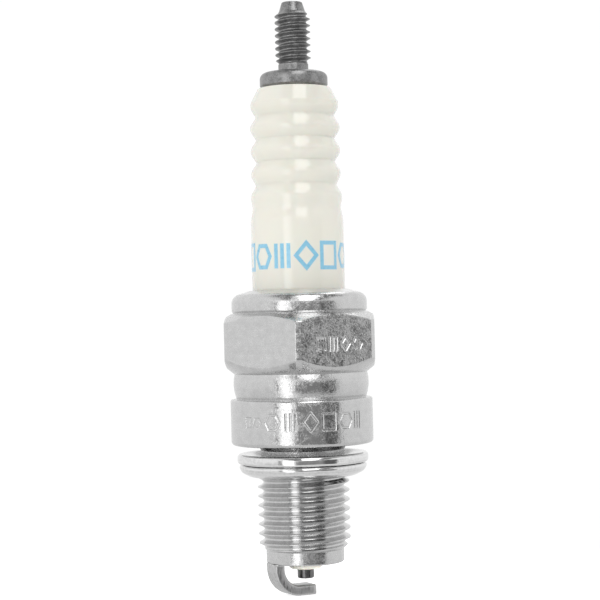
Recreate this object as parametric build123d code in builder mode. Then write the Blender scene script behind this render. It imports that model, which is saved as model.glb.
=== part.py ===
from build123d import *
import math
import os

# A small motorcycle spark plug with a built-in resistor: M10 x 1 thread, 12.7 mm reach, 16 mm
# hexagon and a bare M4 terminal stud. All lengths are millimetres. The plug's axis is Z, and +Z
# points to the terminal. The origin is the centre of the shell's seat face, where the gasket
# bears. Turned profiles are written as (radius, height) points in the XZ plane.

os.makedirs("parts", exist_ok=True)

# ---- Driving dimensions -------------------------------------------------------------------

# ISO metric threads, drawn as rings of the true section at the true pitch, without the helix
SHELL_THREAD_PITCH = 1.0
SHELL_CREST_R = 4.94
SHELL_THREAD_TURNS = 8
TERMINAL_THREAD_PITCH = 0.7
TERMINAL_CREST_R = 1.96
TERMINAL_THREAD_TURNS = 8
THREAD_DEPTH_PER_PITCH = 0.6134
CREST_FLAT_PER_PITCH = 1 / 8
THREAD_HALF_ANGLE = math.radians(30)

# Shell, from the electrode end upwards
REACH = 12.7
PILOT_R = 4.2
PILOT_ROUNDING = 0.2
FIRST_CREST_Z = -10.65
RELIEF_HIGH_Z = -2.5
NECK_R = 4.5
NECK_TOP_R = 4.85
NECK_FLARE = 0.6
SEAT_RING_R = 7.65
SEAT_RING_HEIGHT = 4.9
SEAT_RING_LOW_ROUNDING = 0.45
SEAT_RING_HIGH_ROUNDING = 0.35
WAIST_R = 7.13
WAIST_BULGE_R = 7.25
WAIST_BULGE_Z = 6.05
WAIST_BULGE_ROUNDING = 0.8
HEX_ACROSS_FLATS = 15.9
HEX_CORNER_R = 9.0
HEX_CORNER_ROUNDING = 0.6
HEX_TURN = 29
HEX_LOW_Z = 7.65
HEX_LOW_CHAMFER_R = 7.2
HEX_LOW_CHAMFER_SLOPE = 0.8
HEX_HIGH_Z = 14.1
HEX_HIGH_CHAMFER_R = 7.4
HEX_HIGH_CHAMFER_SLOPE = math.tan(math.radians(30))
SHOULDER_R = 7.3
SHOULDER_FOOT_HEIGHT = 0.3
SHOULDER_ROUNDING = 1.5
LIP_R = 5.15
LIP_Z = 16.6
LIP_SLOPE = 0.3
LIP_UNDERSIDE_Z = 15.2
LIP_UNDERSIDE_RISE = 0.4

# Shell bore
CAVITY_R = 5.9
CAVITY_FLOOR_Z = 2.7
LOWER_BORE_R = 3.7
LOWER_BORE_TOP_Z = 0.3
LEDGE_R = 2.95
LEDGE_TOP_Z = -6.2
LEDGE_LOW_Z = -6.85
LEDGE_LAND = 0.75
FIRING_BORE_R = 3.15
BORE_OVERRUN = 1.0

# Insulator
INSULATOR_TOP_Z = 38.3
INSULATOR_TOP_R = 3.95
INSULATOR_TOP_ROUNDING = 0.25
RIB_COUNT = 5
RIB_PITCH = 2.46
FIRST_RIB_Z = 36.4
FIRST_RIB_R = 4.76
RIB_R = 4.85
LAST_RIB_R = 4.93
RIB_VALLEY_R = 4.26
RIB_VALLEY_RISE = 0.12
LAST_VALLEY_Z = 25.3
LAST_VALLEY_R = 4.78
FOOT_Z = 24.3
FOOT_R = 4.94
BARREL_R = 5.0
BARREL_HIGH_Z = 23.5
BARREL_LOW_Z = 16.65
SHANK_R = 4.75
FLANGE_R = 5.8
FLANGE_HIGH_Z = 9.3
FLANGE_LOW_Z = 3.2
FLANGE_CHAMFER = 0.3
BODY_R = 3.6
BODY_TOP_Z = 0.9
NOSE_ROOT_R = 2.6
NOSE_TIP_R = 1.75
NOSE_TIP_Z = -13.4
NOSE_TIP_ROUNDING = 0.3
TERMINAL_BORE_R = 1.8
ELECTRODE_BORE_R = 1.0
BORE_STEP_Z = 0.0

# Seat washer and the packing above the flange
SEAT_WASHER_THICKNESS = 0.3
SEAT_WASHER_INNER_R = 3.0
SEAT_WASHER_OUTER_R = 3.55
PACKING_WIRE_R = 0.55
PACKING_GAP = 0.02
UPPER_RING_DROP = 0.35

# Centre conductor, from the firing end upwards
SPARK_TIP_Z = -14.45
ELECTRODE_R = 0.9
ELECTRODE_TIP_ROUNDING = 0.15
ELECTRODE_HEAD_R = 1.6
ELECTRODE_HEAD_Z = 2.0
CORE_R = 0.55
CORE_LOW_Z = -12.5
LOWER_GLASS_LOW_Z = 0.8
RESISTOR_LOW_Z = 7.0
RESISTOR_HIGH_Z = 17.0
UPPER_GLASS_HIGH_Z = 22.0
GLASS_GAP = 0.05

# Terminal stud
STUD_FOOT_Z = 20.0
STUD_SHANK_R = 1.5
STUD_FOOT_ROUNDING = 0.2
STUD_GRIP_R = 1.4
STUD_GRIP_RINGS = 4
STUD_GRIP_PITCH = 0.5
STUD_FLANGE_R = 3.66
STUD_FLANGE_FOOT_R = 3.42
STUD_FLANGE_FOOT_HEIGHT = 0.3
STUD_FLANGE_HIGH_Z = 40.1
STUD_FLANGE_ROUNDING = 0.8
STUD_NECK_R = 1.72
STUD_SMALL_ROUNDING = 0.1
STUD_FIRST_CREST_Z = 41.35
STUD_POINT_FOOT_R = 1.45
STUD_POINT_R = 1.1
STUD_TOP_Z = 47.6

# Ground electrode, a strap welded to the shell's end face
STRAP_WIDTH = 2.3
STRAP_THICKNESS = 1.1
STRAP_EDGE_ROUNDING = 0.2
STRAP_OUTER_R = 4.0
STRAP_BEND_R = 2.45
STRAP_OVERHANG = 0.65
STRAP_TURN = 209
SPARK_GAP = 0.63

# Gasket, one folded sheet steel ring that hangs loose above the thread
GASKET_SHEET = 0.36


# ---- Shared shapes ------------------------------------------------------------------------


def thread_crests(crest_r, pitch, first_z, count):
    """Outline of a 60 degree thread as separate rings, upwards from the crest at first_z."""
    root_r = crest_r - THREAD_DEPTH_PER_PITCH * pitch
    crest_half = CREST_FLAT_PER_PITCH * pitch / 2
    foot_half = crest_half + (crest_r - root_r) * math.tan(THREAD_HALF_ANGLE)
    outline = []
    for turn in range(count):
        z = first_z + turn * pitch
        outline.append((root_r, z - foot_half, 0))
        outline.append((crest_r, z - crest_half, 0))
        outline.append((crest_r, z + crest_half, 0))
        outline.append((root_r, z + foot_half, 0))
    return outline


def points(corners):
    """The plain (radius, height) points of (radius, height, rounding) corners."""
    return [(r, z) for r, z, rounding in corners]


def round_corners(sketch, corners):
    """Round the corners of the current sketch that state a rounding."""
    for r, z, rounding in corners:
        if rounding > 0:
            fillet(sketch.vertices().sort_by_distance((r, z))[0], rounding)


def ledge_z(r):
    """Height of the shell's conical ledge at radius r."""
    slope = (LEDGE_TOP_Z - LEDGE_LOW_Z) / (LOWER_BORE_R - LEDGE_R)
    return LEDGE_LOW_Z + (r - LEDGE_R) * slope


# ---- Metal shell --------------------------------------------------------------------------

shell_thread = thread_crests(
    SHELL_CREST_R, SHELL_THREAD_PITCH, FIRST_CREST_Z, SHELL_THREAD_TURNS
)
shell_root_r = shell_thread[0][0]
shell_thread_low_z = shell_thread[0][1]
lip_corner_z = LIP_Z - LIP_SLOPE * (SHOULDER_R - LIP_R)

shell_outline = [
    (0, -REACH, 0),
    (PILOT_R, -REACH, PILOT_ROUNDING),
    (PILOT_R, shell_thread_low_z, 0),
    *shell_thread,
    (shell_root_r, RELIEF_HIGH_Z, 0),
    (NECK_R, RELIEF_HIGH_Z + NECK_R - shell_root_r, 0),
    (NECK_R, -NECK_FLARE, 0),
    (NECK_TOP_R, 0, 0),
    (SEAT_RING_R, 0, SEAT_RING_LOW_ROUNDING),
    (SEAT_RING_R, SEAT_RING_HEIGHT, SEAT_RING_HIGH_ROUNDING),
    (WAIST_R, SEAT_RING_HEIGHT, 0),
    (WAIST_BULGE_R, WAIST_BULGE_Z, WAIST_BULGE_ROUNDING),
    (WAIST_R, HEX_LOW_Z, 0),
    (WAIST_R, HEX_HIGH_Z, 0),
    (SHOULDER_R, HEX_HIGH_Z + SHOULDER_FOOT_HEIGHT, 0),
    (SHOULDER_R, lip_corner_z, SHOULDER_ROUNDING),
    (LIP_R, LIP_Z, 0),
    (0, LIP_Z, 0),
]

hex_turning_outline = [
    (0, HEX_LOW_Z, 0),
    (HEX_LOW_CHAMFER_R, HEX_LOW_Z, 0),
    (HEX_CORNER_R, HEX_LOW_Z + (HEX_CORNER_R - HEX_LOW_CHAMFER_R) * HEX_LOW_CHAMFER_SLOPE, 0),
    (HEX_CORNER_R, HEX_HIGH_Z - (HEX_CORNER_R - HEX_HIGH_CHAMFER_R) * HEX_HIGH_CHAMFER_SLOPE, 0),
    (HEX_HIGH_CHAMFER_R, HEX_HIGH_Z, 0),
    (0, HEX_HIGH_Z, 0),
]

shell_bore_outline = [
    (0, -REACH - BORE_OVERRUN, 0),
    (FIRING_BORE_R, -REACH - BORE_OVERRUN, 0),
    (FIRING_BORE_R, LEDGE_LOW_Z - LEDGE_LAND - FIRING_BORE_R + LEDGE_R, 0),
    (LEDGE_R, LEDGE_LOW_Z - LEDGE_LAND, 0),
    (LEDGE_R, LEDGE_LOW_Z, 0),
    (LOWER_BORE_R, LEDGE_TOP_Z, 0),
    (LOWER_BORE_R, LOWER_BORE_TOP_Z, 0),
    (CAVITY_R, CAVITY_FLOOR_Z, 0),
    (CAVITY_R, LIP_UNDERSIDE_Z, 0),
    (LIP_R, LIP_UNDERSIDE_Z + LIP_UNDERSIDE_RISE, 0),
    (LIP_R, LIP_Z + BORE_OVERRUN, 0),
    (0, LIP_Z + BORE_OVERRUN, 0),
]

with BuildPart() as metal_shell:
    with BuildSketch(Plane.XY.offset(HEX_LOW_Z)) as hexagon:
        RegularPolygon(HEX_ACROSS_FLATS / 2, 6, major_radius=False, rotation=HEX_TURN)
        fillet(hexagon.vertices(), HEX_CORNER_ROUNDING)
    extrude(amount=HEX_HIGH_Z - HEX_LOW_Z)
    with BuildSketch(Plane.XZ):
        with BuildLine():
            Polyline(points(hex_turning_outline), close=True)
        make_face()
    revolve(axis=Axis.Z, mode=Mode.INTERSECT)
    with BuildSketch(Plane.XZ) as shell_profile:
        with BuildLine():
            Polyline(points(shell_outline), close=True)
        make_face()
        round_corners(shell_profile, shell_outline)
    revolve(axis=Axis.Z)
    with BuildSketch(Plane.XZ):
        with BuildLine():
            Polyline(points(shell_bore_outline), close=True)
        make_face()
    revolve(axis=Axis.Z, mode=Mode.SUBTRACT)

metal_shell.part.label = "metal_shell"
export_step(metal_shell.part, "parts/metal_shell.step")


# ---- Insulator ----------------------------------------------------------------------------

rib_line = [(FIRST_RIB_R, FIRST_RIB_Z)]
for rib in range(1, RIB_COUNT):
    rib_z = FIRST_RIB_Z - rib * RIB_PITCH
    valley_r = RIB_VALLEY_R + (RIB_VALLEY_RISE if rib == RIB_COUNT - 1 else 0)
    rib_line.append((valley_r, rib_z + RIB_PITCH / 2))
    rib_line.append((LAST_RIB_R if rib == RIB_COUNT - 1 else RIB_R, rib_z))
rib_line.append((LAST_VALLEY_R, LAST_VALLEY_Z))
rib_line.append((FOOT_R, FOOT_Z))
rib_line.append((BARREL_R, BARREL_HIGH_Z))

with BuildPart() as insulator:
    with BuildSketch(Plane.XZ):
        with BuildLine():
            Line((TERMINAL_BORE_R, INSULATOR_TOP_Z), (INSULATOR_TOP_R, INSULATOR_TOP_Z))
            Line((INSULATOR_TOP_R, INSULATOR_TOP_Z), rib_line[0])
            Spline(rib_line, tangents=[(0, -1), (0, -1)], tangent_scalars=[1, 1])
            Polyline(
                (BARREL_R, BARREL_HIGH_Z),
                (BARREL_R, BARREL_LOW_Z),
                (SHANK_R, BARREL_LOW_Z),
                (SHANK_R, FLANGE_HIGH_Z),
                (FLANGE_R - FLANGE_CHAMFER, FLANGE_HIGH_Z),
                (FLANGE_R, FLANGE_HIGH_Z - FLANGE_CHAMFER),
                (FLANGE_R, FLANGE_LOW_Z),
                (BODY_R, BODY_TOP_Z),
                (BODY_R, ledge_z(BODY_R) + SEAT_WASHER_THICKNESS),
                (NOSE_ROOT_R, ledge_z(NOSE_ROOT_R) + SEAT_WASHER_THICKNESS),
                (NOSE_TIP_R, NOSE_TIP_Z),
                (ELECTRODE_BORE_R, NOSE_TIP_Z),
                (ELECTRODE_BORE_R, BORE_STEP_Z),
                (TERMINAL_BORE_R, BORE_STEP_Z),
                (TERMINAL_BORE_R, INSULATOR_TOP_Z),
            )
        make_face()
    revolve(axis=Axis.Z)
    end_edges = insulator.edges().filter_by(GeomType.CIRCLE).group_by(Axis.Z)
    fillet(end_edges[0].sort_by(SortBy.RADIUS)[-1], NOSE_TIP_ROUNDING)
    fillet(end_edges[-1].sort_by(SortBy.RADIUS)[-1], INSULATOR_TOP_ROUNDING)

insulator.part.label = "insulator"
export_step(insulator.part, "parts/insulator.step")


# ---- Seat washer and packing --------------------------------------------------------------

with BuildPart() as seat_washer:
    with BuildSketch(Plane.XZ):
        with BuildLine():
            Polyline(
                (SEAT_WASHER_INNER_R, ledge_z(SEAT_WASHER_INNER_R)),
                (SEAT_WASHER_OUTER_R, ledge_z(SEAT_WASHER_OUTER_R)),
                (SEAT_WASHER_OUTER_R, ledge_z(SEAT_WASHER_OUTER_R) + SEAT_WASHER_THICKNESS),
                (SEAT_WASHER_INNER_R, ledge_z(SEAT_WASHER_INNER_R) + SEAT_WASHER_THICKNESS),
                close=True,
            )
        make_face()
    revolve(axis=Axis.Z)

seat_washer.part.label = "seat_washer"
export_step(seat_washer.part, "parts/seat_washer.step")

packing_middle_r = (SHANK_R + CAVITY_R) / 2
lower_ring_z = FLANGE_HIGH_Z + PACKING_GAP + PACKING_WIRE_R
upper_ring_z = LIP_UNDERSIDE_Z - UPPER_RING_DROP
talc_low_z = lower_ring_z + PACKING_WIRE_R + PACKING_GAP
talc_high_z = upper_ring_z - PACKING_WIRE_R - PACKING_GAP


def packing_ring(z):
    """Wire ring between the insulator's shank and the shell, centred at height z."""
    with BuildPart() as ring:
        with BuildSketch(Plane.XZ):
            with Locations((packing_middle_r, z)):
                Circle(PACKING_WIRE_R)
        revolve(axis=Axis.Z)
    return ring.part


for name, ring_z in (("lower_packing_ring", lower_ring_z), ("upper_packing_ring", upper_ring_z)):
    wire_ring = packing_ring(ring_z)
    wire_ring.label = name
    export_step(wire_ring, f"parts/{name}.step")

with BuildPart() as talc_packing:
    with BuildSketch(Plane.XY.offset(talc_low_z)):
        Circle(CAVITY_R)
        Circle(SHANK_R, mode=Mode.SUBTRACT)
    extrude(amount=talc_high_z - talc_low_z)

talc_packing.part.label = "talc_packing"
export_step(talc_packing.part, "parts/talc_packing.step")


# ---- Centre electrode and its copper core -------------------------------------------------

with BuildPart() as center_electrode:
    with BuildSketch(Plane.XY.offset(SPARK_TIP_Z)):
        Circle(ELECTRODE_R)
    extrude(amount=BORE_STEP_Z - SPARK_TIP_Z)
    fillet(center_electrode.edges().group_by(Axis.Z)[0], ELECTRODE_TIP_ROUNDING)
    with BuildSketch(Plane.XY.offset(BORE_STEP_Z)):
        Circle(ELECTRODE_HEAD_R)
    extrude(amount=ELECTRODE_HEAD_Z - BORE_STEP_Z)
    with BuildSketch(Plane.XY.offset(CORE_LOW_Z)):
        Circle(CORE_R)
    extrude(amount=ELECTRODE_HEAD_Z - CORE_LOW_Z, mode=Mode.SUBTRACT)

center_electrode.part.label = "center_electrode"
export_step(center_electrode.part, "parts/center_electrode.step")

with BuildPart() as center_electrode_core:
    with BuildSketch(Plane.XY.offset(CORE_LOW_Z)):
        Circle(CORE_R)
    extrude(amount=ELECTRODE_HEAD_Z - CORE_LOW_Z)

center_electrode_core.part.label = "center_electrode_core"
export_step(center_electrode_core.part, "parts/center_electrode_core.step")


# ---- Glass seals and resistor -------------------------------------------------------------

with BuildPart() as lower_glass_seal:
    with BuildSketch(Plane.XY.offset(LOWER_GLASS_LOW_Z)):
        Circle(TERMINAL_BORE_R)
    extrude(amount=RESISTOR_LOW_Z - LOWER_GLASS_LOW_Z)
    with BuildSketch(Plane.XY.offset(LOWER_GLASS_LOW_Z)):
        Circle(ELECTRODE_HEAD_R)
    extrude(amount=ELECTRODE_HEAD_Z - LOWER_GLASS_LOW_Z, mode=Mode.SUBTRACT)

lower_glass_seal.part.label = "lower_glass_seal"
export_step(lower_glass_seal.part, "parts/lower_glass_seal.step")

with BuildPart() as resistor:
    with BuildSketch(Plane.XY.offset(RESISTOR_LOW_Z)):
        Circle(TERMINAL_BORE_R)
    extrude(amount=RESISTOR_HIGH_Z - RESISTOR_LOW_Z)

resistor.part.label = "resistor"
export_step(resistor.part, "parts/resistor.step")

with BuildPart() as upper_glass_seal:
    with BuildSketch(Plane.XY.offset(RESISTOR_HIGH_Z)):
        Circle(TERMINAL_BORE_R)
    extrude(amount=UPPER_GLASS_HIGH_Z - RESISTOR_HIGH_Z)
    with BuildSketch(Plane.XY.offset(STUD_FOOT_Z)):
        Circle(STUD_SHANK_R + GLASS_GAP)
    extrude(amount=UPPER_GLASS_HIGH_Z - STUD_FOOT_Z, mode=Mode.SUBTRACT)

upper_glass_seal.part.label = "upper_glass_seal"
export_step(upper_glass_seal.part, "parts/upper_glass_seal.step")


# ---- Terminal stud ------------------------------------------------------------------------

terminal_thread = thread_crests(
    TERMINAL_CREST_R, TERMINAL_THREAD_PITCH, STUD_FIRST_CREST_Z, TERMINAL_THREAD_TURNS
)
terminal_thread_low_z = terminal_thread[0][1]
terminal_thread_high_z = terminal_thread[-1][1]

stud_outline = [
    (0, STUD_FOOT_Z, 0),
    (STUD_SHANK_R, STUD_FOOT_Z, STUD_FOOT_ROUNDING),
    (STUD_SHANK_R, INSULATOR_TOP_Z, 0),
    (STUD_FLANGE_FOOT_R, INSULATOR_TOP_Z, 0),
    (STUD_FLANGE_R, INSULATOR_TOP_Z + STUD_FLANGE_FOOT_HEIGHT, 0),
    (STUD_FLANGE_R, STUD_FLANGE_HIGH_Z, STUD_FLANGE_ROUNDING),
    (STUD_NECK_R, STUD_FLANGE_HIGH_Z, STUD_SMALL_ROUNDING),
    (STUD_NECK_R, terminal_thread_low_z, 0),
    *terminal_thread,
    (STUD_POINT_FOOT_R, terminal_thread_high_z, 0),
    (STUD_POINT_R, STUD_TOP_Z, STUD_SMALL_ROUNDING),
    (0, STUD_TOP_Z, 0),
]

with BuildPart() as terminal_stud:
    with BuildSketch(Plane.XZ) as stud_profile:
        with BuildLine():
            Polyline(points(stud_outline), close=True)
        make_face()
        round_corners(stud_profile, stud_outline)
        for grip in range(STUD_GRIP_RINGS):
            with Locations((STUD_SHANK_R, STUD_FOOT_Z + (grip + 1) * STUD_GRIP_PITCH)):
                Circle(STUD_SHANK_R - STUD_GRIP_R, mode=Mode.SUBTRACT)
    revolve(axis=Axis.Z)

terminal_stud.part.label = "terminal_stud"
export_step(terminal_stud.part, "parts/terminal_stud.step")


# ---- Ground electrode ---------------------------------------------------------------------

strap_root_r = STRAP_OUTER_R - STRAP_THICKNESS / 2
strap_leg_z = SPARK_TIP_Z - SPARK_GAP - STRAP_THICKNESS / 2
strap_turn = math.radians(STRAP_TURN)
strap_plane = Plane(
    origin=(0, 0, 0),
    x_dir=(math.cos(strap_turn), math.sin(strap_turn), 0),
    z_dir=(math.sin(strap_turn), -math.cos(strap_turn), 0),
)
strap_root_plane = Plane(
    origin=(strap_root_r * math.cos(strap_turn), strap_root_r * math.sin(strap_turn), -REACH),
    x_dir=(math.cos(strap_turn), math.sin(strap_turn), 0),
    z_dir=(0, 0, 1),
)

with BuildPart() as ground_electrode:
    with BuildLine(strap_plane) as strap_path:
        FilletPolyline(
            (strap_root_r, -REACH),
            (strap_root_r, strap_leg_z),
            (-STRAP_OVERHANG, strap_leg_z),
            radius=STRAP_BEND_R,
        )
    with BuildSketch(strap_root_plane):
        RectangleRounded(STRAP_THICKNESS, STRAP_WIDTH, STRAP_EDGE_ROUNDING)
    sweep(path=strap_path.line)

ground_electrode.part.label = "ground_electrode"
export_step(ground_electrode.part, "parts/ground_electrode.step")


# ---- Gasket -------------------------------------------------------------------------------

# One sheet, from the dished upper edge, round the upper roll, back through the inner fold, out
# round the lower roll, under the flat foot and up as the lip that the thread keeps captive.
gasket_fold = [
    (5.0, -1.75, 0),
    (6.4, -1.13, 0.3),
    (6.87, -1.13, 0.25),
    (6.87, -1.86, 0.3),
    (5.75, -1.9, 0.2),
    (5.75, -2.32, 0.2),
    (6.62, -2.32, 0.25),
    (6.3, -2.92, 0.5),
    (5.5, -3.22, 0.4),
    (4.97, -3.22, 0.2),
    (4.97, -2.6, 0),
]

with BuildPart() as gasket:
    with BuildSketch(Plane.XZ):
        with BuildLine():
            FilletPolyline(
                points(gasket_fold),
                radius=[rounding for r, z, rounding in gasket_fold[1:-1]],
            )
        trace(line_width=GASKET_SHEET)
    revolve(axis=Axis.Z)

gasket.part.label = "gasket"
export_step(gasket.part, "parts/gasket.step")
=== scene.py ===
import math
import random

import bpy
import numpy as np
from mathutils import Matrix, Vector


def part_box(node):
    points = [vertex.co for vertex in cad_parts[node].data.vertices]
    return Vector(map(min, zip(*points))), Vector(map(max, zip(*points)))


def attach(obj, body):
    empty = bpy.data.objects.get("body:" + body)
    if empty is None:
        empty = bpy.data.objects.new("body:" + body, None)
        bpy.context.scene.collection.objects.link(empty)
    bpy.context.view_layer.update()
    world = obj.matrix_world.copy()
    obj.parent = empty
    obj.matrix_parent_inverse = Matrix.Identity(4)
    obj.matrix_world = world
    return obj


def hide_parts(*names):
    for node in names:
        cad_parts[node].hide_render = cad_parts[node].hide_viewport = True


# A spark plug. Lengths in this script are millimetres, and MM turns them into the scene's metres.
# The plug's axis is Z, the origin is the centre of the shell's seat face, and the camera looks
# along +Y, so the front of the plug is at -90 degrees. Turned outlines are (radius, height) lists.

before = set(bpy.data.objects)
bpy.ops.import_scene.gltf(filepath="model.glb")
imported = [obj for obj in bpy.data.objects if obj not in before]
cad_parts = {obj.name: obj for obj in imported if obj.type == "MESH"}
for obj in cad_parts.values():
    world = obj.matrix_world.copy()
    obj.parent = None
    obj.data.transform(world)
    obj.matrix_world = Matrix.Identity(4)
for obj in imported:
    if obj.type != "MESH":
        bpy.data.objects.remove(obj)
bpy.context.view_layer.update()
scene = bpy.context.scene

MM = 0.001
FRONT = math.radians(-90)
TURN = 2 * math.pi


def heights(node):
    """Lowest and highest Z of a CAD node in millimetres."""
    low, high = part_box(node)
    return low.z / MM, high.z / MM


shell_low, shell_high = heights("metal_shell")
insulator_low, insulator_high = heights("insulator")
stud_low, stud_high = heights("terminal_stud")
strap_low = heights("ground_electrode")[0]

# ---- Mesh building ------------------------------------------------------------------------


def new_object(name, vertices, faces, material, sharp_angle=40):
    """A smooth shaded object from points in millimetres."""
    mesh = bpy.data.meshes.new(name)
    mesh.from_pydata([(x * MM, y * MM, z * MM) for x, y, z in vertices], [], faces)
    mesh.validate()
    mesh.materials.append(material)
    mesh.shade_smooth()
    mesh.set_sharp_from_angle(angle=math.radians(sharp_angle))
    obj = bpy.data.objects.new(name, mesh)
    scene.collection.objects.link(obj)
    return obj


class Skin:
    """Rings of points about Z, joined in order into one closed surface."""

    def __init__(self):
        self.vertices = []
        self.faces = []
        self.index = {}

    def point(self, r, angle, z):
        """The number of the point at this place, made once."""
        place = (r * math.cos(angle), r * math.sin(angle), z)
        key = (round(place[0], 5), round(place[1], 5), round(place[2], 5))
        if key not in self.index:
            self.index[key] = len(self.vertices)
            self.vertices.append(place)
        return self.index[key]

    def ring(self, angles, shape):
        """A ring of points where shape(angle) gives (radius, height)."""
        return [(angle, self.point(r, angle, z)) for angle in angles for r, z in [shape(angle)]]

    def face(self, corners):
        """One face, with repeated corners dropped."""
        kept = [c for k, c in enumerate(corners) if c != corners[k - 1]]
        if len(set(kept)) > 2:
            self.faces.append(kept)

    def join(self, low, high):
        """A band of faces between two rings, whose angles may differ."""
        low_angles = [angle for angle, p in low] + [TURN + low[0][0]]
        high_angles = [angle for angle, p in high] + [TURN + high[0][0]]
        low_points = [p for angle, p in low] + [low[0][1]]
        high_points = [p for angle, p in high] + [high[0][1]]
        i = j = 0
        while i < len(low) or j < len(high):
            low_next = low_angles[i + 1] if i < len(low) else math.inf
            high_next = high_angles[j + 1] if j < len(high) else math.inf
            corners = [low_points[i]]
            if low_next < high_next + 1e-9:
                i += 1
                corners.append(low_points[i])
            step = high_next < low_next + 1e-9
            corners += [high_points[j + 1], high_points[j]] if step else [high_points[j]]
            j += step
            self.face(corners)

    def stack(self, rings):
        """Joins a list of rings in order."""
        for low, high in zip(rings, rings[1:]):
            self.join(low, high)


def level(r, z):
    """The shape of a plain level ring."""
    return lambda angle: (r, z)


def even_angles(count):
    """Angles that divide a full turn evenly."""
    return [TURN * k / count for k in range(count)]


def rounded(corners, step=20):
    """The points of (r, z, rounding) corners, each with an arc in steps of about `step` degrees."""
    out = []
    for k, (r, z, rounding) in enumerate(corners):
        if rounding <= 0 or k in (0, len(corners) - 1):
            out.append((r, z))
            continue
        here = np.array((r, z), float)
        back = np.array(corners[k - 1][:2], float) - here
        ahead = np.array(corners[k + 1][:2], float) - here
        back_length, ahead_length = np.linalg.norm(back), np.linalg.norm(ahead)
        back, ahead = back / back_length, ahead / ahead_length
        half = math.acos(max(-1, min(1, float(back @ ahead)))) / 2
        reach = min(rounding / math.tan(half), 0.49 * back_length, 0.49 * ahead_length)
        radius = reach * math.tan(half)
        middle = (back + ahead) / np.linalg.norm(back + ahead)
        centre = here + middle * radius / math.sin(half)
        start, stop = here + back * reach - centre, here + ahead * reach - centre
        sweep = math.pi - 2 * half
        count = max(2, round(math.degrees(sweep) / step) + 1)
        for part in range(count + 1):
            share = part / count
            blend = start * math.sin((1 - share) * sweep) + stop * math.sin(share * sweep)
            out.append(tuple(centre + blend / math.sin(sweep)))
    return out


def turned(name, outline, columns, material, wobble=None):
    """A closed turned solid. The outline is a loop, or it starts and ends on the axis."""
    skin = Skin()
    angles = even_angles(columns)
    rings = []
    for r, z in outline:
        move = wobble or (lambda angle, r, z: (r, z))
        rings.append(skin.ring(angles, lambda angle, r=r, z=z: move(angle, r, z)))
    skin.stack(rings)
    if outline[0][0] > 0:
        skin.join(rings[-1], rings[0])
    return new_object(name, skin.vertices, skin.faces, material)


def smooth_step(value, low, high):
    """0 below low, 1 above high, and an S curve between."""
    share = min(1, max(0, (value - low) / (high - low)))
    return share * share * (3 - 2 * share)


# One pitch of a rounded 60 degree thread: (place along the pitch, share of the full depth)
THREAD_SECTION = [
    (-0.50, 0.0), (-0.45, 0.006), (-0.405, 0.035), (-0.365, 0.095), (-0.25, 0.32), (-0.13, 0.72),
    (-0.09, 0.865), (-0.06, 0.955), (-0.025, 1.0), (0.025, 1.0), (0.06, 0.955), (0.09, 0.865),
    (0.13, 0.72), (0.25, 0.32), (0.365, 0.095), (0.405, 0.035), (0.45, 0.006),
]


def thread_rings(skin, angles, pitch, crest_z, root_r, crest_r, low, high, limit):
    """Rings that follow a right hand helix between the heights low and high.

    crest_z is a height of the crest at angle 0, and limit(angle, r, z) trims the radius.
    """
    per_turn = len(THREAD_SECTION)
    first = crest_z + pitch * (math.floor((low - crest_z) / pitch) - 1)
    turns = math.ceil((high - first) / pitch) + 1
    rows = []
    for turn in range(turns + 1):
        for place, share in THREAD_SECTION:
            ring = []
            for angle in angles:
                z = first + (turn + place + angle / TURN) * pitch
                r = root_r + share * (crest_r - root_r)
                z_kept = min(high, max(low, z))
                if z_kept != z:
                    r = root_r
                ring.append(skin.point(limit(angle, r, z_kept), angle, z_kept))
            rows.append(ring)
    last = len(angles) - 1
    for k in range(len(rows) - 1):
        for c in range(last):
            skin.face([rows[k][c], rows[k][c + 1], rows[k + 1][c + 1], rows[k + 1][c]])
        over, over_next = k + per_turn, k + per_turn + 1
        if over_next < len(rows):
            skin.face([rows[k][last], rows[over][0], rows[over_next][0], rows[k + 1][last]])
    low_ring = skin.ring(angles, lambda angle: (limit(angle, root_r, low), low))
    high_ring = skin.ring(angles, lambda angle: (limit(angle, root_r, high), high))
    return low_ring, high_ring


# ---- Materials ----------------------------------------------------------------------------


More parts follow.
